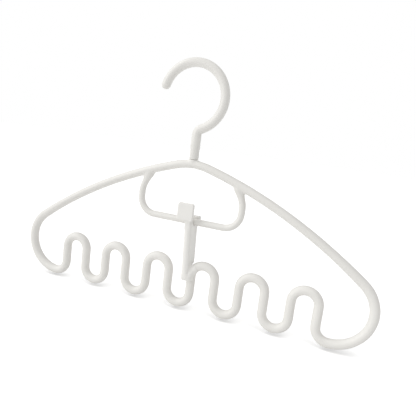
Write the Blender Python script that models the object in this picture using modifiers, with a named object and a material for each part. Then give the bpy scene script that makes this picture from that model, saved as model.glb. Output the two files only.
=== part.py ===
# Space-saving hanger: a one-piece wave frame, a swivel hook and a centre clasp.
# Metres, +Z up. The origin is the rail seat, the underside of the hook's crown.
# The frame's plane is y = 0, with the front at -Y.

import math

import bmesh
import bpy
from mathutils import Matrix, Vector

mm = 0.001

# Hook
hook_wire = 9.3 * mm
hook_bend_radius = 32.6 * mm
hook_offset = 7.9 * mm          # the crown's centre lies this far left of the stem
hook_tip_angle = 164.0          # where the wire ends, in degrees round the hook's centre
stem_diameter = 9.6 * mm
stem_bend_radius = 7.0 * mm

# Frame outline, on the centreline of its tube
shoulder_drop = 93.7 * mm       # from the rail seat down to the shoulders' top
crown_radius = 63.0 * mm
shoulder_turn = 21.2            # degrees each long shoulder curves between the crown and its end
end_bend_radius = 34.0 * mm     # where a shoulder turns down into the end loop
half_width = 191.4 * mm
wave_pitch = 52.0 * mm
wave_height = 45.0 * mm
wave_drop = 239.6 * mm          # from the rail seat down to the troughs
crests_per_side = 3

# Frame sections
wave_tube = 9.6 * mm
shoulder_height = 8.6 * mm
shoulder_depth = 11.4 * mm

# Inner loop
bar_drop = 151.2 * mm
bar_diameter = 7.1 * mm
loop_offset = 1.5 * mm          # the loop's middle lies this far right of the stem
loop_half_width = 55.1 * mm
loop_corner_radius = 16.6 * mm
loop_upright = 5.5 * mm         # straight run between a corner and the neck's bend
loop_neck_radius = 20.0 * mm
loop_neck_lean = 21.0           # degrees each neck leans in towards the stem
loop_flare_length = 6.0 * mm
loop_flare_ratio = 1.4

# Swivel
running_gap = 0.3 * mm
pad_diameter = 11.0 * mm
pad_rise = 0.4 * mm
shank_diameter = 5.4 * mm
snap_head_diameter = 7.4 * mm
snap_head_height = 2.2 * mm
snap_slit = 1.2 * mm

# Centre clasp, its places across the hanger measured from the stem's axis
blade_left = 1.6 * mm
blade_thickness = 7.8 * mm
blade_half_depth = 10.5 * mm
foot_lap = 0.4 * mm             # from the foot's right side to the leg's middle
blade_foot_depth_ratio = 0.88
blade_edge_radius = 2.4 * mm
foot_below_crest_centre = 4.2 * mm
foot_round = 1.8 * mm
collar_reach = 4.4 * mm         # how far the foot's collar laps past the leg's middle
collar_lead = 2.0 * mm          # how far its middle lies left of the leg's middle
collar_depth = 9.0 * mm         # how far it stands in front of the leg's middle
collar_lip = 0.5 * mm           # its wall where it ends on the crest
collar_end_angle = 125          # round the crest, from 180 at the leg
swing_room = 1.3 * mm           # round the crest's outside, behind the leg
heel_height = 3.0 * mm          # bottom of the blade's rear half, above the crest's centre
tab_left = -6.2 * mm
tab_width = 17.2 * mm
tab_thickness = 4.0 * mm
tab_height = 16.0 * mm
tab_base = 3.5 * mm             # above the bar's centre
tab_overhang = 1.8 * mm         # proud of the blade's front
tab_corner_radius = 2.4 * mm
jaw_rise = 4.5 * mm
jaw_reach = 1.4 * mm            # the rear jaw ends this far right of the tab
jaw_fall = 2.6 * mm
jaw_thickness = 5.8 * mm
jaw_set_back = 1.0 * mm         # the rear jaw stops short of the blade's back
snap_mouth = 6.4 * mm
edge_round = 0.8 * mm

# Mesh fineness
tube_bevel_resolution = 6
steps_per_half_turn = 15
round_sides = 32

# Places worked out from the sizes above
stem_x = hook_offset
hook_centre_z = -(hook_bend_radius - hook_wire / 2)
shoulder_z = -shoulder_drop
trough_z = -wave_drop
crest_z = trough_z + wave_height
bend_radius = wave_pitch / 4
bar_z = -bar_drop
pad_top_z = shoulder_z + shoulder_height / 2 + pad_rise
underside_z = shoulder_z - shoulder_height / 2
crest_centre_z = crest_z - bend_radius
lower_end_radius = half_width - crests_per_side * wave_pitch
widest_z = trough_z + lower_end_radius


def clear_scene():
    for scene_object in list(bpy.data.objects):
        bpy.data.objects.remove(scene_object, do_unlink=True)


def make_collection(name):
    collection = bpy.data.collections.new(name)
    bpy.context.scene.collection.children.link(collection)
    return collection


def make_material(name, colour, roughness):
    material = bpy.data.materials.new(name)
    material.use_nodes = True
    shader = material.node_tree.nodes["Principled BSDF"]
    shader.inputs["Base Color"].default_value = (*colour, 1.0)
    shader.inputs["Roughness"].default_value = roughness
    shader.inputs["Metallic"].default_value = 0.0
    return material


def arc(centre_x, centre_z, radius, start_degrees, end_degrees, steps=None):
    """Points from start to end round a centre in the hanger's plane, as (x, z)."""
    if steps is None:
        steps = max(2, round(abs(end_degrees - start_degrees) / 180 * steps_per_half_turn))
    points = []
    for step in range(steps + 1):
        angle = math.radians(start_degrees + (end_degrees - start_degrees) * step / steps)
        points.append((centre_x + radius * math.cos(angle), centre_z + radius * math.sin(angle)))
    return points


def without_repeats(points):
    kept = []
    for point in points:
        if not kept or math.dist(point, kept[-1]) > 1e-5:
            kept.append(point)
    return kept


def shoulder_arc():
    """The long arc that touches the crown's and the end bend's: where it starts, radius, centre."""
    turn = math.radians(shoulder_turn)
    end_x = half_width - end_bend_radius
    end_z = widest_z - (shoulder_z - crown_radius)
    reach = crown_radius ** 2 + end_bend_radius ** 2 - end_x ** 2 - end_z ** 2
    reach -= 2 * crown_radius * end_bend_radius * math.cos(turn)
    both = crown_radius + end_bend_radius
    radius = (both + math.sqrt(both ** 2 - 2 * reach / (1 - math.cos(turn)))) / 2
    along = (radius - end_bend_radius) * math.sin(turn)
    up = crown_radius - radius + (radius - end_bend_radius) * math.cos(turn)
    start = math.atan2(end_x, end_z) - math.atan2(along, up)
    centre_x = (crown_radius - radius) * math.sin(start)
    centre_z = shoulder_z - crown_radius + (crown_radius - radius) * math.cos(start)
    return math.degrees(start), radius, centre_x, centre_z


def right_outline():
    """The frame's centreline from the top of the shoulders to the middle trough, x from the stem."""
    crown_end, shoulder_radius, centre_x, centre_z = shoulder_arc()
    points = arc(0, shoulder_z - crown_radius, crown_radius, 90, 90 - crown_end, 4)
    shoulder_end = crown_end + shoulder_turn
    points += arc(centre_x, centre_z, shoulder_radius, 90 - crown_end, 90 - shoulder_end, 8)
    points += arc(half_width - end_bend_radius, widest_z, end_bend_radius, 90 - shoulder_end, 0, 7)
    points += arc(half_width - lower_end_radius, widest_z, lower_end_radius, 0, -90, 10)
    trough_centre_z = trough_z + bend_radius
    last_trough_x = crests_per_side * wave_pitch
    points += arc(last_trough_x, trough_centre_z, bend_radius, -90, -180)
    for crest in range(crests_per_side, 0, -1):
        crest_x = (crest - 0.5) * wave_pitch
        points += arc(crest_x, crest_centre_z, bend_radius, 0, 180)
        last_angle = -180 if crest > 1 else -90
        points += arc(crest_x - wave_pitch / 2, trough_centre_z, bend_radius, 0, last_angle)
    return without_repeats(points)


def both_sides(points):
    """Mirrors a run of points that starts and ends on the middle, into one closed loop."""
    return points + [(-x, z) for x, z in reversed(points[1:-1])]


def tube_from_points(name, points, diameter, radii=None, closed=False):
    """A round tube along points (x, z) in the plane y = 0, made a mesh."""
    curve = bpy.data.curves.new(name, "CURVE")
    curve.dimensions = "3D"
    curve.fill_mode = "FULL"
    curve.bevel_depth = diameter / 2
    curve.bevel_resolution = tube_bevel_resolution
    curve.use_fill_caps = not closed
    spline = curve.splines.new("POLY")
    spline.points.add(len(points) - 1)
    for index, (x, z) in enumerate(points):
        spline.points[index].co = (x, 0, z, 1)
        spline.points[index].radius = radii[index] if radii else 1.0
    spline.use_cyclic_u = closed
    guide = bpy.data.objects.new(name + "_guide", curve)
    parts.objects.link(guide)
    return mesh_from_curve(guide, name)


def mesh_from_curve(guide, name):
    bpy.context.view_layer.update()
    evaluated = guide.evaluated_get(bpy.context.evaluated_depsgraph_get())
    mesh = bpy.data.meshes.new_from_object(evaluated)
    shape = bmesh.new()
    shape.from_mesh(mesh)
    bmesh.ops.remove_doubles(shape, verts=shape.verts, dist=1e-6)
    bmesh.ops.recalc_face_normals(shape, faces=shape.faces)
    shape.to_mesh(mesh)
    shape.free()
    solid = bpy.data.objects.new(name, mesh)
    solid.matrix_world = guide.matrix_world.copy()
    parts.objects.link(solid)
    bpy.data.objects.remove(guide, do_unlink=True)
    return solid


def add_box(name, low, high, collection):
    shape = bmesh.new()
    bmesh.ops.create_cube(shape, size=1.0)
    size = [b - a for a, b in zip(low, high)]
    centre = [(a + b) / 2 for a, b in zip(low, high)]
    bmesh.ops.scale(shape, vec=size, verts=shape.verts)
    bmesh.ops.translate(shape, vec=centre, verts=shape.verts)
    return object_from_shape(name, shape, collection)


def add_cylinder(name, centre, radius, length, axis, collection, top_radius=None):
    """A cylinder or cone about centre, along X, Y or Z."""
    shape = bmesh.new()
    end_radius = radius if top_radius is None else top_radius
    bmesh.ops.create_cone(shape, cap_ends=True, segments=round_sides, radius1=radius,
                          radius2=end_radius, depth=length)
    turns = {"X": Matrix.Rotation(math.pi / 2, 4, "Y"), "Y": Matrix.Rotation(math.pi / 2, 4, "X"),
             "Z": Matrix.Identity(4)}
    bmesh.ops.transform(shape, matrix=Matrix.Translation(centre) @ turns[axis], verts=shape.verts)
    return object_from_shape(name, shape, collection)


def object_from_shape(name, shape, collection):
    bmesh.ops.recalc_face_normals(shape, faces=shape.faces)
    mesh = bpy.data.meshes.new(name)
    shape.to_mesh(mesh)
    shape.free()
    solid = bpy.data.objects.new(name, mesh)
    collection.objects.link(solid)
    return solid


def combine(target, tool, operation):
    """Applies a Boolean with an exact solver and drops the tool."""
    modifier = target.modifiers.new(tool.name, "BOOLEAN")
    modifier.object = tool
    modifier.operation = operation
    modifier.solver = "EXACT"
    bpy.context.view_layer.update()
    evaluated = target.evaluated_get(bpy.context.evaluated_depsgraph_get())
    mesh = bpy.data.meshes.new_from_object(evaluated)
    target.modifiers.remove(modifier)
    target.data = mesh
    bpy.data.objects.remove(tool, do_unlink=True)


def round_edges(solid, width, segments=3):
    """Rounds a block's edges and keeps it a mesh that can be cut."""
    modifier = solid.modifiers.new("round", "BEVEL")
    modifier.width = width
    modifier.segments = segments
    modifier.limit_method = "ANGLE"
    bpy.context.view_layer.update()
    evaluated = solid.evaluated_get(bpy.context.evaluated_depsgraph_get())
    mesh = bpy.data.meshes.new_from_object(evaluated)
    solid.modifiers.clear()
    solid.data = mesh


def rounded_plate(name, low, high, radius, axis, collection, edge=0.0):
    """A box whose four edges along one axis are rounded, and then all its edges a little."""
    plate = add_box(name, low, high, collection)
    shape = bmesh.new()
    shape.from_mesh(plate.data)
    along = {"X": 0, "Y": 1, "Z": 2}[axis]
    edges = []
    for edge_item in shape.edges:
        direction = edge_item.verts[1].co - edge_item.verts[0].co
        if abs(direction[along]) > 0.9 * direction.length:
            edges.append(edge_item)
    bmesh.ops.bevel(shape, geom=edges, offset=radius, segments=5, profile=0.5, affect="EDGES")
    bmesh.ops.recalc_face_normals(shape, faces=shape.faces)
    shape.to_mesh(plate.data)
    shape.free()
    if edge > 0:
        round_edges(plate, edge, 2)
    return plate


def finish(solid, material, origin):
    """Gives a piece its material, its smooth shading and an origin on its joint's axis."""
    for vertex in solid.data.vertices:
        vertex.co -= Vector(origin)
    solid.location = origin
    solid.data.materials.clear()
    solid.data.materials.append(material)
    solid.data.shade_smooth()
    solid.data.set_sharp_from_angle(angle=math.radians(38))


def smooth_step(value):
    value = max(0.0, min(1.0, value))
    return value * value * (3 - 2 * value)


def deepen_shoulders(solid):
    """Stretches the tube's section to the shoulders' depth, fading out above the wave."""
    start_z = crest_z + wave_tube
    span = (shoulder_z - crest_z) * 0.35
    height_share = shoulder_depth / shoulder_height
    for vertex in solid.data.vertices:
        share = smooth_step((vertex.co.z - start_z) / span)
        vertex.co.y *= 1 + (height_share - 1) * share


def outline_radii(points):
    """The tube's radius along the outline: full on the wave, thinner up the shoulders."""
    start_z = crest_z + wave_tube
    span = (shoulder_z - crest_z) * 0.35
    radii = []
    for x, z in points:
        share = smooth_step((z - start_z) / span) if abs(x) > 1e-6 or z > crest_z else 0
        radii.append(1 + (shoulder_height / wave_tube - 1) * share)
    return radii


def shoulder_height_at(x):
    """The height of the shoulders' centreline at a distance from the stem."""
    crown_end, shoulder_radius, centre_x, centre_z = shoulder_arc()
    if abs(x) < crown_radius * math.sin(math.radians(crown_end)):
        return shoulder_z - crown_radius + math.sqrt(crown_radius ** 2 - x ** 2)
    return centre_z + math.sqrt(shoulder_radius ** 2 - (abs(x) - centre_x) ** 2)


def loop_side(offset):
    """Half of the inner loop's centreline, from its neck to the bar, x from the loop's middle."""
    lean = math.radians(loop_neck_lean)
    corner_z = bar_z + loop_corner_radius
    bend_z = corner_z + loop_upright
    neck_x = loop_half_width - loop_neck_radius * (1 - math.cos(lean))
    neck_z = bend_z + loop_neck_radius * math.sin(lean)
    top_x, top_z = neck_x, neck_z
    for _ in range(20):
        top_z = shoulder_height_at(top_x + offset)
        top_x = neck_x - (top_z - neck_z) * math.tan(lean)
    points = [(top_x, top_z), ((top_x + neck_x) / 2, (top_z + neck_z) / 2)]
    points += arc(loop_half_width - loop_neck_radius, bend_z, loop_neck_radius, loop_neck_lean, 0, 4)
    points += arc(loop_half_width - loop_corner_radius, corner_z, loop_corner_radius, 0, -90, 8)
    return without_repeats(points)


def loop_points():
    """The inner loop's centreline from the right neck round the bar to the left neck."""
    right = [(loop_offset + x, z) for x, z in loop_side(loop_offset)]
    left = [(loop_offset - x, z) for x, z in loop_side(-loop_offset)]
    return right + left[::-1]


def loop_radii(points):
    """Flares the loop's two necks where they run into the shoulders."""
    radii = []
    for x, z in points:
        below = shoulder_height_at(x) - shoulder_height / 2 - z
        share = 1 - smooth_step(below / loop_flare_length)
        radii.append(1 + (loop_flare_ratio - 1) * share)
    return radii


def make_frame(material):
    outline = both_sides(right_outline())
    outline = [(stem_x + x, z) for x, z in outline]
    centred = [(x - stem_x, z) for x, z in outline]
    frame = tube_from_points("frame", outline, wave_tube, outline_radii(centred), closed=True)
    deepen_shoulders(frame)

    loop = loop_points()
    placed = [(stem_x + x, z) for x, z in loop]
    combine(frame, tube_from_points("loop", placed, bar_diameter, loop_radii(loop)), "UNION")

    pad_height = pad_top_z - shoulder_z
    pad = add_cylinder("pad", (stem_x, 0, shoulder_z + pad_height / 2), pad_diameter / 2,
                       pad_height, "Z", cutters)
    combine(frame, pad, "UNION")

    bore_length = 3 * shoulder_height
    bore = add_cylinder("bore", (stem_x, 0, shoulder_z), shank_diameter / 2 + running_gap,
                        bore_length, "Z", cutters)
    combine(frame, bore, "DIFFERENCE")
    recess_height = snap_head_height + 2 * running_gap
    recess_low = underside_z - shoulder_height
    recess_high = underside_z + recess_height
    recess = add_cylinder("recess", (stem_x, 0, (recess_low + recess_high) / 2),
                          snap_head_diameter / 2 + running_gap, recess_high - recess_low, "Z",
                          cutters)
    combine(frame, recess, "DIFFERENCE")
    finish(frame, material, (stem_x, 0, pad_top_z))
    return frame


def hook_points():
    """The hook's centreline from its tip over the crown and down the stem, with its radii."""
    stem_ratio = stem_diameter / hook_wire
    across = stem_x + stem_bend_radius
    reach = hook_bend_radius + stem_bend_radius
    bend_z = hook_centre_z - math.sqrt(reach ** 2 - across ** 2)
    join_angle = -math.degrees(math.acos(across / reach))
    tip_length = hook_wire / 2

    points = []
    radii = []
    dome_steps = 5
    for step in range(dome_steps):
        lean = math.pi / 2 * step / dome_steps
        past = math.degrees(tip_length * math.cos(lean) / hook_bend_radius)
        angle = math.radians(hook_tip_angle + past)
        points.append((hook_bend_radius * math.cos(angle),
                       hook_centre_z + hook_bend_radius * math.sin(angle)))
        radii.append(max(math.sin(lean), 0.12))
    bow = arc(0, hook_centre_z, hook_bend_radius, hook_tip_angle, join_angle, 30)
    points += bow
    radii += [1.0] * len(bow)
    bend = arc(stem_x + stem_bend_radius, bend_z, stem_bend_radius, join_angle + 180, 180, 6)[1:]
    points += bend
    radii += [1.0 + (stem_ratio - 1) * smooth_step((index + 1) / len(bend)) for index in range(len(bend))]
    seat_z = pad_top_z + running_gap
    points.append((stem_x, seat_z))
    radii.append(stem_ratio)
    return points, radii


def make_hook(material):
    points, radii = hook_points()
    hook = tube_from_points("hook", points, hook_wire, radii)

    head_top_z = underside_z + snap_head_height + running_gap
    head_low_z = underside_z + running_gap
    shank_top_z = pad_top_z + stem_diameter / 2
    shank = add_cylinder("shank", (stem_x, 0, (head_low_z + shank_top_z) / 2), shank_diameter / 2,
                         shank_top_z - head_low_z, "Z", cutters)
    head = add_cylinder("head", (stem_x, 0, (head_low_z + head_top_z) / 2), shank_diameter / 2 + 0.1 * mm,
                        head_top_z - head_low_z, "Z", cutters, snap_head_diameter / 2)
    combine(shank, head, "UNION")
    slit_top_z = pad_top_z - 2 * running_gap
    slit = add_box("slit", (stem_x - snap_head_diameter, -snap_slit / 2, head_low_z - 1 * mm),
                   (stem_x + snap_head_diameter, snap_slit / 2, slit_top_z), cutters)
    combine(shank, slit, "DIFFERENCE")
    combine(hook, shank, "UNION")
    finish(hook, material, (stem_x, 0, pad_top_z))
    return hook


def lean_blade(blade, top_z, foot_z, lean):
    """Narrows the blade's depth and moves it sideways towards its foot."""
    for vertex in blade.data.vertices:
        share = (top_z - vertex.co.z) / (top_z - foot_z)
        vertex.co.x += lean * share
        vertex.co.y *= 1 + (blade_foot_depth_ratio - 1) * share


def make_clasp(material):
    """The centre clasp: a deep blade, a snap saddle on the bar, and a foot that laps the leg."""
    left_x = stem_x + blade_left
    right_x = left_x + blade_thickness
    foot_z = crest_centre_z - foot_below_crest_centre
    blade_top_z = bar_z + jaw_rise
    leg_x = stem_x + wave_pitch / 4
    crest_x = stem_x + wave_pitch / 2
    clasp = rounded_plate("centre_clasp", (left_x, -blade_half_depth, foot_z),
                          (right_x, blade_half_depth, blade_top_z), blade_edge_radius, "Z", parts,
                          foot_round)
    lean_blade(clasp, blade_top_z, foot_z, leg_x - foot_lap - right_x)

    # The finger tab in front and the short jaw behind share one width.
    tab_low_x = stem_x + tab_left
    tab_high_x = tab_low_x + tab_width
    tab_front_y = -blade_half_depth - tab_overhang
    tab_top_z = bar_z + tab_base + tab_height
    tab = rounded_plate("tab", (tab_low_x, tab_front_y, bar_z + tab_base),
                        (tab_high_x, tab_front_y + tab_thickness, tab_top_z),
                        tab_corner_radius, "Y", cutters, edge_round)
    combine(clasp, tab, "UNION")
    jaw_back_y = blade_half_depth - jaw_set_back
    jaw = rounded_plate("jaw", (tab_low_x, jaw_back_y - jaw_thickness, bar_z - jaw_fall),
                        (tab_high_x + jaw_reach, jaw_back_y, blade_top_z), edge_round, "Y", cutters)
    combine(clasp, jaw, "UNION")
    rib_inset = blade_thickness / 5
    rib = add_box("rib", (left_x + rib_inset, tab_front_y + tab_thickness * 0.6,
                          bar_z + tab_base + edge_round),
                  (right_x - rib_inset, -snap_mouth, bar_z + tab_base + tab_height * 0.6), cutters)
    combine(clasp, rib, "UNION")

    # The foot's collar laps the leg in front and runs out along the start of the crest.
    groove_diameter = wave_tube + 2 * running_gap
    crest_run = arc(crest_x, crest_centre_z, bend_radius, 180, 90)
    collar_width = 2 * (collar_reach + collar_lead)
    collar_run = arc(crest_x, crest_centre_z, bend_radius, 180, collar_end_angle)
    shares = [smooth_step(index / (len(collar_run) - 1)) for index in range(len(collar_run))]
    collar_run = [(x - collar_lead * (1 - share), z) for (x, z), share in zip(collar_run, shares)]
    end_width = groove_diameter + 2 * collar_lip
    narrowing = [1 + (end_width / collar_width - 1) * share for share in shares]
    collar = tube_from_points("collar", [(leg_x - collar_lead, foot_z - wave_tube)] + collar_run,
                              collar_width, [1.0] + narrowing)
    for vertex in collar.data.vertices:
        deepening = 1 - smooth_step((vertex.co.z - crest_centre_z) / (collar_run[-1][1] - crest_centre_z))
        vertex.co.y *= 1 + (2 * collar_depth / collar_width - 1) * deepening
    front = add_box("front", (leg_x - wave_tube / 2, -2 * collar_depth, foot_z + edge_round / 2),
                    (crest_x - edge_round, -groove_diameter / 4, crest_z), cutters)
    combine(collar, front, "INTERSECT")
    combine(clasp, collar, "UNION")

    # Behind the leg the blade is cut back to swing free.
    groove = tube_from_points("groove", [(leg_x, foot_z - wave_tube)] + crest_run, groove_diameter)
    combine(clasp, groove, "DIFFERENCE")
    outer_radius = bend_radius + wave_tube / 2 + swing_room
    relief_depth = 2 * blade_half_depth
    relief = add_cylinder("relief", (crest_x, relief_depth / 2 + running_gap, crest_centre_z),
                          outer_radius, relief_depth, "Y", cutters)
    combine(clasp, relief, "DIFFERENCE")
    heel = add_box("heel", (left_x - blade_thickness, 2 * running_gap, foot_z - wave_tube),
                   (crest_x, relief_depth, crest_centre_z + heel_height), cutters)
    combine(clasp, heel, "DIFFERENCE")

    # The saddle: a bore about the bar, and a narrower mouth that the bar snaps through.
    saddle_x = (left_x + right_x) / 2
    saddle = add_cylinder("saddle", (saddle_x, 0, bar_z), bar_diameter / 2 + running_gap,
                          3 * tab_width, "X", cutters)
    combine(clasp, saddle, "DIFFERENCE")
    mouth = add_box("mouth", (saddle_x - 2 * tab_width, -snap_mouth / 2, bar_z),
                    (saddle_x + 2 * tab_width, snap_mouth / 2, bar_z + 2 * tab_height), cutters)
    combine(clasp, mouth, "DIFFERENCE")
    finish(clasp, material, (stem_x, 0, bar_z))
    return clasp


clear_scene()
parts = make_collection("space_saving_hanger")
cutters = make_collection("cutters")

make_frame(make_material("frame_white", (0.86, 0.86, 0.84), 0.42))
make_hook(make_material("hook_white", (0.86, 0.86, 0.84), 0.40))
make_clasp(make_material("clasp_white", (0.85, 0.85, 0.83), 0.42))
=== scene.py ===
import math

import bmesh
import bpy
from mathutils import Matrix, Vector


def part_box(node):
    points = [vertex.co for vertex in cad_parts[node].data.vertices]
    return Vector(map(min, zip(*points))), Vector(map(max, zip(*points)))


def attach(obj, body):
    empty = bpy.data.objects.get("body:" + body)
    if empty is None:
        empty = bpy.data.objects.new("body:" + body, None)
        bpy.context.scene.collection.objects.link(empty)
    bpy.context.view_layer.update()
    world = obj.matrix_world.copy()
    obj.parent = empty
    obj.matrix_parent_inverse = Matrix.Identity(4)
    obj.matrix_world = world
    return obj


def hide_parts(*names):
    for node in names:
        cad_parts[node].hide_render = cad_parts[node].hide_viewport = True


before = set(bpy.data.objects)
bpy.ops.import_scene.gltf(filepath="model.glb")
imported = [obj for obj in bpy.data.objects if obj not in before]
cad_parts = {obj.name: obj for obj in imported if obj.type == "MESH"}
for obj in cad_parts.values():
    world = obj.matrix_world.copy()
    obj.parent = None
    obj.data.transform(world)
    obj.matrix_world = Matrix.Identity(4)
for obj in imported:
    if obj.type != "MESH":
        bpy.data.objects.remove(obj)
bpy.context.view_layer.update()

mm = 0.001

frameLow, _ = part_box("frame")


def collect(name):
    group = bpy.data.collections.new(name)
    bpy.context.scene.collection.children.link(group)
    return group


pieces = collect("hangerPieces")
studio = collect("studio")


# mesh helpers
def arcPoints(centre, radius, startDeg, endDeg, step):
    count = max(2, round(abs(math.radians(endDeg - startDeg)) * radius / step))
    turn = [math.radians(startDeg + (endDeg - startDeg) * i / count) for i in range(count + 1)]
    return [(centre[0] + radius * math.cos(a), centre[1] + radius * math.sin(a)) for a in turn]


def evenRun(points, step, closed=False):
    # walks along the points and drops one every step
    run = points + [points[0]] if closed else points
    lengths = [math.dist(a, b) for a, b in zip(run, run[1:])]
    total = sum(lengths)
    count = max(2, round(total / step))
    spots = []
    segment = 0
    passed = 0.0
    for i in range(count if closed else count + 1):
        goal = total * i / count
        while segment < len(lengths) - 1 and passed + lengths[segment] < goal:
            passed += lengths[segment]
            segment += 1
        part = (goal - passed) / lengths[segment] if lengths[segment] else 0
        part = min(max(part, 0), 1)
        a, b = run[segment], run[segment + 1]
        spots.append((a[0] + (b[0] - a[0]) * part, a[1] + (b[1] - a[1]) * part))
    return spots


def smoothStep(value):
    value = min(max(value, 0), 1)
    return value * value * (3 - 2 * value)


def meshOf(holder):
    bpy.context.view_layer.update()
    seen = holder.evaluated_get(bpy.context.evaluated_depsgraph_get())
    return bpy.data.meshes.new_from_object(seen)


def sweptTube(name, points, radii, sides, closed=False):
    curve = bpy.data.curves.new(name, "CURVE")
    curve.dimensions = "3D"
    curve.fill_mode = "FULL"
    curve.bevel_depth = 1.0
    curve.bevel_resolution = (sides - 4) // 2
    curve.use_fill_caps = not closed
    spline = curve.splines.new("POLY")
    spline.points.add(len(points) - 1)
    for index, (x, z) in enumerate(points):
        spline.points[index].co = (x, 0, z, 1)
        spline.points[index].radius = radii[index]
    spline.use_cyclic_u = closed
    guide = bpy.data.objects.new(name, curve)
    pieces.objects.link(guide)
    mesh = meshOf(guide)
    bpy.data.objects.remove(guide, do_unlink=True)
    form = bmesh.new()
    form.from_mesh(mesh)
    bmesh.ops.remove_doubles(form, verts=form.verts, dist=1e-6)
    bmesh.ops.recalc_face_normals(form, faces=form.faces)
    return form


def joinForms(name, forms):
    whole = bmesh.new()
    for form in forms:
        mesh = bpy.data.meshes.new(name)
        form.to_mesh(mesh)
        form.free()
        whole.from_mesh(mesh)
        bpy.data.meshes.remove(mesh)
    mesh = bpy.data.meshes.new(name)
    whole.to_mesh(mesh)
    whole.free()
    piece = bpy.data.objects.new(name, mesh)
    pieces.objects.link(piece)
    return piece


def moulded(piece, voxel, rounds):
    # one skin over everything, with soft fillets where the forms meet
    skin = piece.modifiers.new("skin", "REMESH")
    skin.mode = "VOXEL"
    skin.voxel_size = voxel
    skin.adaptivity = 0
    soften = piece.modifiers.new("soften", "SMOOTH")
    soften.factor = 0.5
    soften.iterations = rounds
    mesh = meshOf(piece)
    piece.modifiers.clear()
    piece.data = mesh
    mesh.shade_smooth()
    return piece


def lathed(profile, centreX, sides):
    # a closed turned form from (radius, height) pairs, bottom to top
    form = bmesh.new()
    chain = [form.verts.new((centreX + radius, 0, height)) for radius, height in profile]
    edges = [form.edges.new(pair) for pair in zip(chain, chain[1:])]
    bmesh.ops.spin(form, geom=chain + edges, cent=(centreX, 0, 0), axis=(0, 0, 1), angle=2 * math.pi,
                   steps=sides, use_merge=True)
    bmesh.ops.remove_doubles(form, verts=form.verts, dist=1e-6)
    bmesh.ops.holes_fill(form, edges=[edge for edge in form.edges if edge.is_boundary], sides=0)
    bmesh.ops.recalc_face_normals(form, faces=form.faces)
    return form


def cutAway(piece, form):
    cutter = joinForms("cutter", [form])
    bite = piece.modifiers.new("bite", "BOOLEAN")
    bite.operation = "DIFFERENCE"
    bite.solver = "EXACT"
    bite.object = cutter
    mesh = meshOf(piece)
    piece.modifiers.clear()
    piece.data = mesh
    bpy.data.objects.remove(cutter, do_unlink=True)


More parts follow.
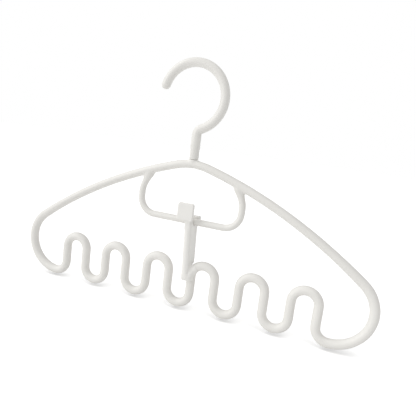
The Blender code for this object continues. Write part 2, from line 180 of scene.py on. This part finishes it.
# white moulded plastic
def mouldedPlastic(name, look):
    material = bpy.data.materials.new(name)
    material.use_nodes = True
    tree = material.node_tree
    nodes, links = tree.nodes, tree.links
    shader = nodes["Principled BSDF"]
    shader.inputs["IOR"].default_value = look["ior"]
    place = nodes.new("ShaderNodeTexCoord")

    cloud = nodes.new("ShaderNodeTexNoise")  # slow drift of tone in the moulding
    cloud.inputs["Scale"].default_value = look["cloudScale"]
    cloud.inputs["Detail"].default_value = look["cloudDetail"]
    links.new(place.outputs["Object"], cloud.inputs["Vector"])
    tone = nodes.new("ShaderNodeValToRGB")
    tone.color_ramp.elements[0].position = look["cloudSpan"][0]
    tone.color_ramp.elements[1].position = look["cloudSpan"][1]
    tone.color_ramp.elements[0].color = (*look["shade"], 1)
    tone.color_ramp.elements[1].color = (*look["white"], 1)
    links.new(cloud.outputs["Fac"], tone.inputs["Fac"])

    specks = nodes.new("ShaderNodeTexVoronoi")  # rare dust and pigment specks
    specks.inputs["Scale"].default_value = look["speckScale"]
    links.new(place.outputs["Object"], specks.inputs["Vector"])
    speckMask = nodes.new("ShaderNodeMapRange")
    speckMask.inputs["From Min"].default_value = look["speckSpan"][0]
    speckMask.inputs["From Max"].default_value = look["speckSpan"][1]
    speckMask.inputs["To Min"].default_value = look["speckDepth"]
    speckMask.inputs["To Max"].default_value = 0
    links.new(specks.outputs["Distance"], speckMask.inputs["Value"])
    dusted = nodes.new("ShaderNodeMixRGB")
    dusted.inputs["Color2"].default_value = (*look["speck"], 1)
    links.new(speckMask.outputs["Result"], dusted.inputs["Fac"])
    links.new(tone.outputs["Color"], dusted.inputs["Color1"])
    links.new(dusted.outputs["Color"], shader.inputs["Base Color"])

    rub = nodes.new("ShaderNodeTexNoise")  # handling polishes some patches
    rub.inputs["Scale"].default_value = look["rubScale"]
    rub.inputs["Detail"].default_value = look["rubDetail"]
    links.new(place.outputs["Object"], rub.inputs["Vector"])
    gloss = nodes.new("ShaderNodeMapRange")
    gloss.inputs["From Min"].default_value = look["rubSpan"][0]
    gloss.inputs["From Max"].default_value = look["rubSpan"][1]
    gloss.inputs["To Min"].default_value = look["roughLow"]
    gloss.inputs["To Max"].default_value = look["roughHigh"]
    links.new(rub.outputs["Fac"], gloss.inputs["Value"])
    links.new(gloss.outputs["Result"], shader.inputs["Roughness"])

    grain = nodes.new("ShaderNodeTexNoise")  # the mould's fine spark-eroded grain
    grain.inputs["Scale"].default_value = look["grainScale"]
    grain.inputs["Detail"].default_value = look["grainDetail"]
    links.new(place.outputs["Object"], grain.inputs["Vector"])
    ripple = nodes.new("ShaderNodeTexNoise")  # shallow sink marks in thick spots
    ripple.inputs["Scale"].default_value = look["sinkScale"]
    links.new(place.outputs["Object"], ripple.inputs["Vector"])
    split = nodes.new("ShaderNodeSeparateXYZ")
    links.new(place.outputs["Object"], split.inputs["Vector"])
    away = nodes.new("ShaderNodeMath")
    away.operation = "ABSOLUTE"
    links.new(split.outputs["Y"], away.inputs[0])
    line = nodes.new("ShaderNodeMapRange")  # parting line of the two mould halves
    line.interpolation_type = "SMOOTHSTEP"
    line.inputs["From Min"].default_value = 0
    line.inputs["From Max"].default_value = look["partingWidth"]
    line.inputs["To Min"].default_value = look["partingHeight"]
    line.inputs["To Max"].default_value = 0
    links.new(away.outputs["Value"], line.inputs["Value"])
    sinkPart = nodes.new("ShaderNodeMath")
    sinkPart.operation = "MULTIPLY_ADD"
    sinkPart.inputs[1].default_value = look["sinkShare"]
    links.new(ripple.outputs["Fac"], sinkPart.inputs[0])
    links.new(grain.outputs["Fac"], sinkPart.inputs[2])
    relief = nodes.new("ShaderNodeMath")
    relief.operation = "ADD"
    links.new(sinkPart.outputs["Value"], relief.inputs[0])
    links.new(line.outputs["Result"], relief.inputs[1])
    bump = nodes.new("ShaderNodeBump")
    bump.inputs["Strength"].default_value = look["bumpStrength"]
    bump.inputs["Distance"].default_value = look["bumpDepth"]
    links.new(relief.outputs["Value"], bump.inputs["Height"])
    links.new(bump.outputs["Normal"], shader.inputs["Normal"])
    return material


plasticLook = {
    "white": (0.826, 0.812, 0.778),
    "shade": (0.800, 0.786, 0.751),
    "speck": (0.55, 0.53, 0.49),
    "ior": 1.49,
    "roughLow": 0.40,
    "roughHigh": 0.52,
    "cloudScale": 9.0,
    "cloudDetail": 3,
    "cloudSpan": (0.35, 0.68),  # noise values of the shade and of the white
    "speckScale": 170.0,
    "speckSpan": (0.02, 0.07),  # share of a cell: a speck's core and its edge
    "speckDepth": 0.22,
    "rubScale": 55.0,
    "rubDetail": 5,
    "rubSpan": (0.3, 0.7),
    "grainScale": 1400.0,
    "grainDetail": 4,
    "sinkScale": 70.0,
    "sinkShare": 2.0,
    "partingWidth": 0.22 * mm,
    "partingHeight": 1.2,
    "bumpStrength": 0.1,
    "bumpDepth": 0.04 * mm,
}
framePlastic = mouldedPlastic("framePlastic", plasticLook)
hookPlastic = mouldedPlastic("hookPlastic", {**plasticLook, "roughLow": 0.36, "roughHigh": 0.48})
# painted light: the clasp's white and shade are a lighter copy of the frame's plastic, which brightens the
# clasp's faces that the tab and the bar shade
claspPlastic = mouldedPlastic("claspPlastic", {
    **plasticLook,
    "white": (0.872, 0.859, 0.828),
    "shade": (0.848, 0.835, 0.803),
    "partingHeight": 0.0,
    "sinkShare": 1.2,
})
print("materials ready")


# frame: shoulders, end loops, wave and inner loop in one moulding
frameForm = {
    "stemX": 7.9 * mm,
    "shoulderTop": -93.7 * mm,
    "crownRadius": 63.0 * mm,
    "shoulderTurnDeg": 21.2,  # how far a shoulder curves between crown and end
    "endBend": 34.0 * mm,
    "halfWidth": 191.4 * mm,
    "pitch": 52.0 * mm,
    "troughZ": -239.6 * mm,
    "waveHeight": 45.0 * mm,
    "crests": 3,
    "waveTube": 9.6 * mm,
    "shoulderTube": 8.6 * mm,
    "shoulderDepth": 11.4 * mm,
    "ovalFade": 0.35,  # share of the height in which the wave's round rod becomes the oval shoulder
    "barZ": -151.2 * mm,
    "barTube": 7.1 * mm,
    "loopOffset": 1.5 * mm,
    "loopHalfWidth": 55.1 * mm,
    "loopCorner": 16.6 * mm,
    "loopUpright": 5.5 * mm,
    "neckRadius": 20.0 * mm,
    "neckLeanDeg": 21.0,
    "neckFillet": 8.5 * mm,
    "neckFlare": 0.5,
    "padTube": 11.0 * mm,
    "padRise": 0.4 * mm,
    "padSides": 48,
    "bore": 6.0 * mm,  # the hook's shank turns in it
    "recess": 8.0 * mm,
    "recessHeight": 2.8 * mm,
    "chamfer": 0.3 * mm,
    "overrun": 1.0 * mm,  # how far the cutter runs out at both ends
    "boreSides": 64,
    "ringStep": 1.1 * mm,
    "sides": 28,
    "voxel": 0.85 * mm,
    "softening": 9,
    "sharpDeg": 40,
}


def shoulderArc(form):
    # the long arc touching the crown's arc and the end bend: start angle, radius, centre
    turn = math.radians(form["shoulderTurnDeg"])
    crown, end = form["crownRadius"], form["endBend"]
    endX = form["halfWidth"] - end
    endZ = form["troughZ"] + form["halfWidth"] - form["crests"] * form["pitch"] - form["shoulderTop"] + crown
    reach = crown ** 2 + end ** 2 - endX ** 2 - endZ ** 2 - 2 * crown * end * math.cos(turn)
    both = crown + end
    radius = (both + math.sqrt(both ** 2 - 2 * reach / (1 - math.cos(turn)))) / 2
    along = (radius - end) * math.sin(turn)
    up = crown - radius + (radius - end) * math.cos(turn)
    start = math.atan2(endX, endZ) - math.atan2(along, up)
    centre = ((crown - radius) * math.sin(start),
              form["shoulderTop"] - crown + (crown - radius) * math.cos(start))
    return start, radius, centre


def halfOutline(form):
    step = form["ringStep"]
    bend = form["pitch"] / 4
    lowTurn = form["halfWidth"] - form["crests"] * form["pitch"]
    wideZ = form["troughZ"] + lowTurn
    start, radius, centre = shoulderArc(form)
    startDeg = math.degrees(start)
    endDeg = startDeg + form["shoulderTurnDeg"]
    endBend = form["endBend"]
    crestZ = form["troughZ"] + form["waveHeight"] - bend
    troughZ = form["troughZ"] + bend
    crownZ = form["shoulderTop"] - form["crownRadius"]
    run = arcPoints((0, crownZ), form["crownRadius"], 90, 90 - startDeg, step)
    run += arcPoints(centre, radius, 90 - startDeg, 90 - endDeg, step)
    run += arcPoints((form["halfWidth"] - endBend, wideZ), endBend, 90 - endDeg, 0, step)
    run += arcPoints((form["halfWidth"] - lowTurn, wideZ), lowTurn, 0, -90, step)
    run += arcPoints((form["crests"] * form["pitch"], troughZ), bend, -90, -180, step)
    for crest in range(form["crests"], 0, -1):
        middle = (crest - 0.5) * form["pitch"]
        run += arcPoints((middle, crestZ), bend, 0, 180, step)
        run += arcPoints((middle - 2 * bend, troughZ), bend, 0, -180 if crest > 1 else -90, step)
    return run


def shoulderZ(form, x):
    start, radius, centre = shoulderArc(form)
    crown = form["crownRadius"]
    if abs(x) < crown * math.sin(start):
        return form["shoulderTop"] - crown + math.sqrt(crown ** 2 - x * x)
    return centre[1] + math.sqrt(radius ** 2 - (abs(x) - centre[0]) ** 2)


def loopSide(form, offset):
    lean = math.radians(form["neckLeanDeg"])
    cornerZ = form["barZ"] + form["loopCorner"]
    bendZ = cornerZ + form["loopUpright"]
    neckX = form["loopHalfWidth"] - form["neckRadius"] * (1 - math.cos(lean))
    neckZ = bendZ + form["neckRadius"] * math.sin(lean)
    topX, topZ = neckX, neckZ
    for _ in range(20):  # closes in on where the neck meets the shoulder's line
        topZ = shoulderZ(form, topX + offset)
        topX = neckX - (topZ - neckZ) * math.tan(lean)
    side = [(topX, topZ)]
    side += arcPoints((form["loopHalfWidth"] - form["neckRadius"], bendZ), form["neckRadius"],
                      form["neckLeanDeg"], 0, form["ringStep"])
    side += arcPoints((form["loopHalfWidth"] - form["loopCorner"], cornerZ), form["loopCorner"], 0, -90,
                      form["ringStep"])
    return side


def loopRun(form):
    offset = form["loopOffset"]
    right = [(offset + x, z) for x, z in loopSide(form, offset)]
    left = [(offset - x, z) for x, z in loopSide(form, -offset)]
    return right + left[::-1]


def buildFrame(form):
    half = halfOutline(form)
    outline = evenRun(half + [(-x, z) for x, z in reversed(half[1:-1])], form["ringStep"], closed=True)
    crestTop = form["troughZ"] + form["waveHeight"]
    fadeFrom = crestTop + form["waveTube"]
    fadeSpan = (form["shoulderTop"] - crestTop) * form["ovalFade"]
    radii = []
    for x, z in outline:
        share = smoothStep((z - fadeFrom) / fadeSpan)
        radii.append((form["waveTube"] + (form["shoulderTube"] - form["waveTube"]) * share) / 2)
    rim = sweptTube("rim", [(form["stemX"] + x, z) for x, z in outline], radii, form["sides"], closed=True)
    for vertex in rim.verts:
        share = smoothStep((vertex.co.z - fadeFrom) / fadeSpan)
        vertex.co.y *= 1 + (form["shoulderDepth"] / form["shoulderTube"] - 1) * share

    loop = evenRun(loopRun(form), form["ringStep"])
    loopRadii = []
    for x, z in loop:
        below = shoulderZ(form, x) - form["shoulderTube"] / 2 - z
        flare = (1 - min(max(below / form["neckFillet"], 0), 1)) ** 2
        loopRadii.append(form["barTube"] / 2 * (1 + form["neckFlare"] * flare))
    inner = sweptTube("inner", [(form["stemX"] + x, z) for x, z in loop], loopRadii, form["sides"])

    padTop = form["shoulderTop"] + form["shoulderTube"] / 2 + form["padRise"]
    pad = bmesh.new()
    bmesh.ops.create_cone(pad, cap_ends=True, segments=form["padSides"], radius1=form["padTube"] / 2,
                          radius2=form["padTube"] / 2, depth=padTop - form["shoulderTop"])
    bmesh.ops.translate(pad, verts=pad.verts, vec=(form["stemX"], 0, (padTop + form["shoulderTop"]) / 2))
    frameSkin = moulded(joinForms("frameSkin", [rim, inner, pad]), form["voxel"], form["softening"])

    bore, recess, chamfer, past = form["bore"] / 2, form["recess"] / 2, form["chamfer"], form["overrun"]
    underside = form["shoulderTop"] - form["shoulderTube"] / 2
    recessTop = underside + form["recessHeight"]
    hole = lathed([(recess + chamfer + past, underside - past), (recess, underside + chamfer),
                   (recess, recessTop - chamfer), (recess - chamfer, recessTop), (bore, recessTop),
                   (bore, padTop - chamfer), (bore + chamfer + past, padTop + past)],
                  form["stemX"], form["boreSides"])
    cutAway(frameSkin, hole)
    frameSkin.data.shade_smooth()
    frameSkin.data.set_sharp_from_angle(angle=math.radians(form["sharpDeg"]))
    return frameSkin


frameSkin = buildFrame(frameForm)
frameSkin.data.materials.append(framePlastic)
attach(frameSkin, "frame_body")
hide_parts("frame")
print("frame", len(frameSkin.data.polygons), "faces")


# hook: one bent rod with a thicker stem
hookForm = {
    "rod": 9.3 * mm,
    "inset": 0.07 * mm,  # keeps the round rod inside the CAD's flat-sided one
    "bend": 32.6 * mm,
    "tipDeg": 164.0,
    "domeRings": 10,
    "domeStart": 0.12,  # share of a ring left open at the very tip
    "stemX": 7.9 * mm,
    "stemTube": 9.6 * mm,
    "stemBend": 7.0 * mm,
    "seatZ": -88.7 * mm,
    "seatEdge": 0.25 * mm,  # tiny round at the stem's foot
    "shank": 5.4 * mm,
    "snapHead": 7.4 * mm,
    "snapLowZ": -97.7 * mm,
    "snapHeight": 2.2 * mm,
    "snapLead": ((-0.3 * mm, 0.0), (0.1 * mm, 0.3 * mm)),  # from the shank's side and the low end
    "snapLip": ((0.0, -0.25 * mm), (-0.1 * mm, -0.05 * mm), (-0.3 * mm, 0.0)),  # from the barb and its top
    "pinSides": 48,
    "slit": 1.2 * mm,
    "slitRoof": 0.6 * mm,  # what the slit leaves below the seat
    "overrun": 1.0 * mm,
    "ringStep": 1.0 * mm,
    "sides": 32,
    "sharpDeg": 50,
}


def buildHook(form):
    centreZ = -(form["bend"] - form["rod"] / 2)
    reach = form["bend"] + form["stemBend"]
    side = form["stemX"] + form["stemBend"]
    bendZ = centreZ - math.sqrt(reach ** 2 - side ** 2)
    joinDeg = -math.degrees(math.acos(side / reach))
    points, radii = [], []
    skin = form["rod"] / 2 - form["inset"]
    for ring in range(form["domeRings"]):  # round tip
        lean = math.pi / 2 * (ring + form["domeStart"]) / form["domeRings"]
        past = math.degrees(skin * math.cos(lean) / form["bend"])
        angle = math.radians(form["tipDeg"] + past)
        points.append((form["bend"] * math.cos(angle), centreZ + form["bend"] * math.sin(angle)))
        radii.append(skin * math.sin(lean))
    bow = arcPoints((0, centreZ), form["bend"], form["tipDeg"], joinDeg, form["ringStep"])
    points += bow
    radii += [skin] * len(bow)
    knee = arcPoints((side, bendZ), form["stemBend"], joinDeg + 180, 180, form["ringStep"] / 2)[1:]
    for index, spot in enumerate(knee):
        share = smoothStep((index + 1) / len(knee))
        points.append(spot)
        radii.append(skin + (form["stemTube"] - form["rod"]) / 2 * share)
    foot, edge = form["seatZ"], form["seatEdge"]
    for z, shrink in ((foot + edge, 0), (foot + edge * 0.4, edge * 0.25), (foot, edge * 0.8)):
        points.append((form["stemX"], z))
        radii.append(form["stemTube"] / 2 - shrink)
    rod = sweptTube("rod", points, radii, form["sides"])

    low, high, shank = form["snapLowZ"], form["snapLowZ"] + form["snapHeight"], form["shank"] / 2
    barb = form["snapHead"] / 2
    profile = [(shank + out, low + up) for out, up in form["snapLead"]]
    profile += [(barb + out, high + up) for out, up in form["snapLip"]]
    profile += [(shank, high), (shank, foot + form["stemTube"] / 2)]
    pin = joinForms("pin", [lathed(profile, form["stemX"], form["pinSides"])])
    slit = bmesh.new()  # lets the barb close as it goes through the bore
    bmesh.ops.create_cube(slit, size=1)
    slitTop, past = foot - form["slitRoof"], form["overrun"]
    bmesh.ops.scale(slit, verts=slit.verts, vec=(2 * form["snapHead"], form["slit"], slitTop - low + past))
    bmesh.ops.translate(slit, verts=slit.verts, vec=(form["stemX"], 0, (slitTop + low - past) / 2))
    cutAway(pin, slit)
    pinForm = bmesh.new()
    pinForm.from_mesh(pin.data)
    bpy.data.objects.remove(pin, do_unlink=True)
    hookSkin = joinForms("hookSkin", [rod, pinForm])
    hookSkin.data.shade_smooth()
    hookSkin.data.set_sharp_from_angle(angle=math.radians(form["sharpDeg"]))
    return hookSkin


hookSkin = buildHook(hookForm)
hookSkin.data.materials.append(hookPlastic)
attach(hookSkin, "hook_body")
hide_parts("hook")
print("hook", len(hookSkin.data.polygons), "faces")


# centre clasp: the CAD form with moulded edges
claspForm = {
    "voxel": 0.32 * mm,
    "softening": 7,
    "stemX": 7.9 * mm,
    "bladeLeft": 1.6 * mm,
    "thickness": 7.8 * mm,
    "halfDepth": 10.5 * mm,
    "lean": 3.2 * mm,
    "footDepth": 0.88,  # share of the blade's depth left at its foot
    "headZ": -146.7 * mm,
    "footZ": -211.8 * mm,
    "bladeRound": 3.3 * mm,  # how far the blade's front and back are bowed
    "bowFade": 6.0 * mm,
    "bowReach": 1.01,  # share of the half thickness that the bow spans
    "barZ": -151.2 * mm,
    # two added blocks, each from its low to its high corner
    "jawRise": ((1.9 * mm, 4.0 * mm, -152.0 * mm), (20.2 * mm, 9.3 * mm, -145.7 * mm)),
    "tabDrop": ((1.8 * mm, -12.2 * mm, -149.3 * mm), (18.8 * mm, -8.4 * mm, -143.0 * mm)),
    "blockEdge": 0.8 * mm,
    "crestX": 33.9 * mm,
    "crestZ": -207.6 * mm,
    "crestBend": 13.0 * mm,
    "collarSkin": 4.88 * mm,  # the collar runs out this close round the crest's middle
    "thinFromDeg": 105,  # the stretch of collar that is thinned, by its angle round the crest
    "thinToDeg": 160,
    "thinFadeDeg": 28,
    "thinFront": 0.5 * mm,  # only what lies this far to the front
    "bladeGap": 0.2 * mm,  # the blade's side stays as it is
    "bladeFade": 2.0 * mm,
    "skinNear": 5.1 * mm,
    "skinSlope": 0.2,
    "skinFar": 6.3 * mm,
    "skinFade": 0.9 * mm,
    "easeGap": 1.5 * mm,  # the easing keeps off the foot's end, the blade's middle and the back
    "easeAbove": 4.0 * mm,
    "easing": 14,
    "lastEasing": 3,
    "sharpDeg": 50,
}


def bladeAt(form, height):
    # the blade's middle and half depth at a height
    share = (form["headZ"] - height) / (form["headZ"] - form["footZ"])
    middle = form["stemX"] + form["bladeLeft"] + form["thickness"] / 2 + form["lean"] * share
    return middle, form["halfDepth"] * (1 + (form["footDepth"] - 1) * share)


def bowBlade(clasp, form):
    # rounds the blade's front and back, as the moulded one shows
    reach = form["thickness"] / 2
    for vertex in clasp.data.vertices:
        place = vertex.co
        middle, depth = bladeAt(form, place.z)
        side = (place.x - middle) / (reach * form["bowReach"])
        low = smoothStep((place.z - form["footZ"] - form["bowFade"] / 2) / form["bowFade"])
        high = smoothStep((form["barZ"] - form["bowFade"] / 2 - place.z) / form["bowFade"])
        if abs(side) >= 1 or low * high == 0:
            continue
        limit = depth - form["bladeRound"] * (1 - math.sqrt(1 - side * side)) * low * high
        if abs(place.y) > limit:
            place.y = math.copysign(limit, place.y)


def settleCollar(clasp, form):
    # thins the collar's end so that it runs out flush on the crest
    first, last, fade = form["thinFromDeg"], form["thinToDeg"], form["thinFadeDeg"]
    for vertex in clasp.data.vertices:
        place = vertex.co
        across, up = place.x - form["crestX"], place.z - form["crestZ"]
        turn = math.degrees(math.atan2(up, across))
        if place.y > -form["thinFront"] or not first < turn < last:
            continue
        out = math.hypot(across, up)
        away = math.hypot(out - form["crestBend"], place.y)
        middle, _ = bladeAt(form, place.z)
        clear = smoothStep((place.x - middle - form["thickness"] / 2 - form["bladeGap"]) / form["bladeFade"])
        near = 1 - smoothStep((away - form["skinFar"]) / form["skinFade"])
        amount = smoothStep((last - turn) / fade) * clear * near
        goal = form["collarSkin"] + max(away - form["skinNear"], 0) * form["skinSlope"]
        stretch = 1 + (min(goal, away) / away - 1) * amount
        newOut = form["crestBend"] + (out - form["crestBend"]) * stretch
        place.x = form["crestX"] + across * newOut / out
        place.z = form["crestZ"] + up * newOut / out
        place.y *= stretch


def easeFoot(clasp, form, rounds):
    # evens out the folds between blade, collar and crest
    skin = bmesh.new()
    skin.from_mesh(clasp.data)
    gap = form["easeGap"]
    top = form["crestZ"] + form["crestBend"] + form["easeAbove"]
    soft = []
    for vertex in skin.verts:
        middle, _ = bladeAt(form, vertex.co.z)
        low = form["footZ"] + gap < vertex.co.z < top
        if low and vertex.co.x > middle + gap and vertex.co.y < -gap:
            soft.append(vertex)
    for _ in range(rounds):
        bmesh.ops.smooth_vert(skin, verts=soft, factor=0.5, use_axis_x=True, use_axis_y=True,
                              use_axis_z=True)
    skin.to_mesh(clasp.data)
    skin.free()


def roundedBlock(corners, edge):
    low, high = Vector(corners[0]), Vector(corners[1])
    block = bmesh.new()
    bmesh.ops.create_cube(block, size=1)
    bmesh.ops.scale(block, verts=block.verts, vec=high - low)
    bmesh.ops.translate(block, verts=block.verts, vec=(low + high) / 2)
    bmesh.ops.bevel(block, geom=block.edges[:], offset=edge, segments=3, profile=0.5, affect="EDGES",
                    material=-1)
    return block


def buildClasp(form):
    solid = bmesh.new()
    solid.from_mesh(bpy.data.objects["centre_clasp"].data)
    bmesh.ops.remove_doubles(solid, verts=solid.verts, dist=1e-6)
    jaw = roundedBlock(form["jawRise"], form["blockEdge"])  # the rear jaw's top shows above the bar
    tab = roundedBlock(form["tabDrop"], form["blockEdge"])  # the tab comes down over the bar's top
    clasp = moulded(joinForms("claspSkin", [solid, jaw, tab]), form["voxel"], form["softening"])
    bowBlade(clasp, form)
    easeFoot(clasp, form, form["easing"])
    settleCollar(clasp, form)
    easeFoot(clasp, form, form["lastEasing"])
    clasp.data.shade_smooth()
    clasp.data.set_sharp_from_angle(angle=math.radians(form["sharpDeg"]))
    return clasp


claspSkin = buildClasp(claspForm)
claspSkin.data.materials.append(claspPlastic)
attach(claspSkin, "clasp_body")
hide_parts("centre_clasp")
print("clasp", len(claspSkin.data.polygons), "faces")


# pale floor and backdrop
def lookingRay(tree):
    # one for what the camera sees, also in a gloss or through glass
    path = tree.nodes.new("ShaderNodeLightPath")
    glossy = tree.nodes.new("ShaderNodeMath")
    glossy.operation = "MAXIMUM"
    tree.links.new(path.outputs["Is Camera Ray"], glossy.inputs[0])
    tree.links.new(path.outputs["Is Glossy Ray"], glossy.inputs[1])
    seen = tree.nodes.new("ShaderNodeMath")
    seen.operation = "MAXIMUM"
    tree.links.new(glossy.outputs["Value"], seen.inputs[0])
    tree.links.new(path.outputs["Is Transmission Ray"], seen.inputs[1])
    return seen.outputs["Value"]


floorForm = {
    "gap": 2.0 * mm,  # the hanger floats this far above it
    "size": 12.0,
    "white": (0.96, 0.96, 0.96),
    "lift": 0.46,  # brings the lit floor up to white and leaves the shadows
    "contactReach": 22.0 * mm,
    "contactOpen": 0.97,  # share of open sky at which the contact shadow ends
    "contactClosed": 0.35,
    "contactTone": 0.74,
}


def buildFloor(form):
    sheet = bmesh.new()
    bmesh.ops.create_grid(sheet, x_segments=1, y_segments=1, size=form["size"] / 2)
    bmesh.ops.translate(sheet, verts=sheet.verts, vec=(0, 0, frameLow[2] - form["gap"]))
    mesh = bpy.data.meshes.new("studioFloor")
    sheet.to_mesh(mesh)
    sheet.free()
    floor = bpy.data.objects.new("studioFloor", mesh)
    studio.objects.link(floor)
    material = bpy.data.materials.new("floorWhite")
    material.use_nodes = True
    tree = material.node_tree
    shader = tree.nodes["Principled BSDF"]
    shader.inputs["Roughness"].default_value = 1.0
    shader.inputs["Specular IOR Level"].default_value = 0.0
    lift = tree.nodes.new("ShaderNodeMath")
    lift.operation = "MULTIPLY"
    lift.inputs[1].default_value = form["lift"]
    tree.links.new(lookingRay(tree), lift.inputs[0])
    tree.links.new(lift.outputs["Value"], shader.inputs["Emission Strength"])
    hollow = tree.nodes.new("ShaderNodeAmbientOcclusion")  # soft contact shadow below each trough
    hollow.inputs["Distance"].default_value = form["contactReach"]
    contact = tree.nodes.new("ShaderNodeMapRange")
    contact.inputs["From Min"].default_value = form["contactClosed"]
    contact.inputs["From Max"].default_value = form["contactOpen"]
    contact.inputs["To Min"].default_value = form["contactTone"]
    contact.inputs["To Max"].default_value = 1
    tree.links.new(hollow.outputs["AO"], contact.inputs["Value"])
    toned = tree.nodes.new("ShaderNodeMixRGB")
    toned.inputs["Color1"].default_value = (0, 0, 0, 1)
    toned.inputs["Color2"].default_value = (*form["white"], 1)
    tree.links.new(contact.outputs["Result"], toned.inputs["Fac"])
    tree.links.new(toned.outputs["Color"], shader.inputs["Base Color"])
    tree.links.new(toned.outputs["Color"], shader.inputs["Emission Color"])
    material.cycles.emission_sampling = "NONE"
    mesh.materials.append(material)
    return floor


floor = buildFloor(floorForm)
print("floor ready")


# soft lamps from the left, a weaker one from above, and a pale sky
lightForm = {
    "lamps": {  # azimuth from the front, height, strength, softness, all angles in degrees
        "keySun": (-75.0, 42.0, 0.79, 30.0),
        "sideSun": (-45.0, 12.0, 0.76, 26.0),
        "topSun": (40.0, 68.0, 0.51, 30.0),
    },
    "lampDistance": 2.0,
    "skyStrength": 0.49,
    "backdrop": 1.0,
}


def buildLight(form):
    for name, (azimuthDeg, heightDeg, strength, softDeg) in form["lamps"].items():
        lamp = bpy.data.lights.new(name, "SUN")
        lamp.energy = strength
        lamp.angle = math.radians(softDeg)
        sun = bpy.data.objects.new(name, lamp)
        studio.objects.link(sun)
        azimuth, height = math.radians(azimuthDeg), math.radians(heightDeg)
        toSun = Vector((math.sin(azimuth) * math.cos(height), -math.cos(azimuth) * math.cos(height),
                        math.sin(height)))
        sun.rotation_euler = toSun.to_track_quat("Z", "Y").to_euler()
        sun.location = toSun * form["lampDistance"]

    world = bpy.data.worlds.new("studioWorld")
    bpy.context.scene.world = world
    world.use_nodes = True
    nodes, links = world.node_tree.nodes, world.node_tree.links
    nodes.clear()
    sky = nodes.new("ShaderNodeBackground")
    sky.inputs["Strength"].default_value = form["skyStrength"]
    sky.inputs["Color"].default_value = (1, 1, 1, 1)
    backdrop = nodes.new("ShaderNodeBackground")
    backdrop.inputs["Strength"].default_value = form["backdrop"]
    backdrop.inputs["Color"].default_value = (1, 1, 1, 1)
    choose = nodes.new("ShaderNodeMixShader")
    out = nodes.new("ShaderNodeOutputWorld")
    links.new(lookingRay(world.node_tree), choose.inputs["Fac"])
    links.new(sky.outputs["Background"], choose.inputs[1])
    links.new(backdrop.outputs["Background"], choose.inputs[2])
    links.new(choose.outputs["Shader"], out.inputs["Surface"])


buildLight(lightForm)
print("light ready")


# camera, at the photograph's place
cameraForm = {
    "place": (165.72 * mm, -387.72 * mm, -67.98 * mm),
    "azimuthDeg": 19.277,
    "heightDeg": 9.261,
    "rollDeg": 7.435,
    "lens": 36.009,
    "sensor": 36,
    "near": 0.01,
    "shift": (-0.0012, 0.0012),  # half a pixel right and down
}


def buildCamera(form):
    data = bpy.data.cameras.new("photoCamera")
    data.lens = form["lens"]
    data.sensor_width = form["sensor"]
    data.clip_start = form["near"]
    data.shift_x = form["shift"][0]
    data.shift_y = form["shift"][1]
    camera = bpy.data.objects.new("photoCamera", data)
    studio.objects.link(camera)
    azimuth, height = math.radians(form["azimuthDeg"]), math.radians(form["heightDeg"])
    back = Vector((math.sin(azimuth) * math.cos(height), -math.cos(azimuth) * math.cos(height),
                   math.sin(height)))
    right = Vector((math.cos(azimuth), math.sin(azimuth), 0))
    up = back.cross(right)
    turn = Matrix((right, up, back)).transposed().to_4x4()
    roll = Matrix.Rotation(math.radians(form["rollDeg"]), 4, "Z")
    camera.matrix_world = Matrix.Translation(form["place"]) @ turn @ roll
    bpy.context.scene.camera = camera


buildCamera(cameraForm)
bpy.context.scene.view_settings.view_transform = "Standard"
print("camera ready")
